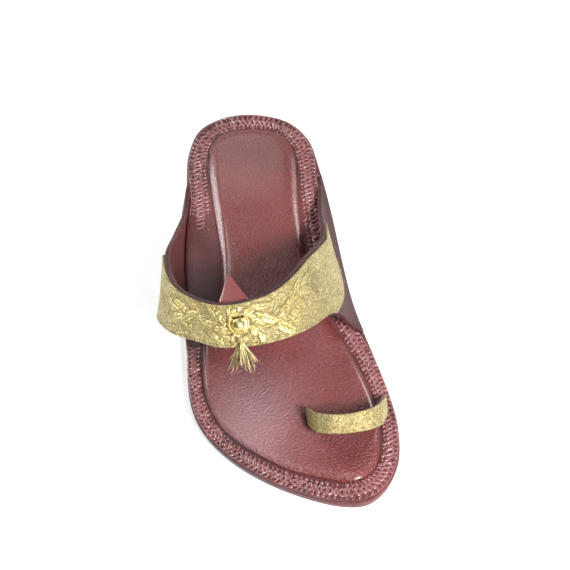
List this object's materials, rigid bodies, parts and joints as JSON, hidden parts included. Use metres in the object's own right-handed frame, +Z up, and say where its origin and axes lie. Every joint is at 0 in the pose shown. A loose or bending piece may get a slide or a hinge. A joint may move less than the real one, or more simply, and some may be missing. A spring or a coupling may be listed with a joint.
{
  "type": "toe-ring sandal",
  "caption": "Flat right-foot sandal with a padded footbed, embossed border, leaning instep strap covered in gold fabric, toe loop and tassel.",
  "frame": {"origin": "middle of the bounding box in plan, on the floor the sandal stands on", "axes": "+Z up, +Y from the toe towards the heel along the sandal's length, +X towards the medial side of the right foot"},
  "size_m": [0.1078, 0.2486, 0.057],
  "materials": {
    "maroon_leather": "glossy, finely pebbled",
    "embossed_leather": "satin, embossed with an interlaced band",
    "lining_leather": "smooth, satin",
    "covered_board": "satin",
    "sole_rubber": "matt, fine tread",
    "gold_fabric": "metallic brocade",
    "gold_metal": "polished gilt",
    "gold_thread": "twisted metallic thread"
  },
  "bodies": {
    "root": {"outsole": "sole_rubber", "heel_top_lift": "sole_rubber", "heel_block": "covered_board", "midsole": "covered_board", "insole_border": "embossed_leather", "footbed_pad": "maroon_leather", "instep_strap": "maroon_leather", "strap_cover": "gold_fabric", "toe_ring": "lining_leather", "toe_ring_cover": "gold_fabric", "tongue": "maroon_leather", "medallion_plate": "gold_metal", "medallion_bead": "gold_metal", "tassel": "gold_thread"}
  },
  "joints": []
}
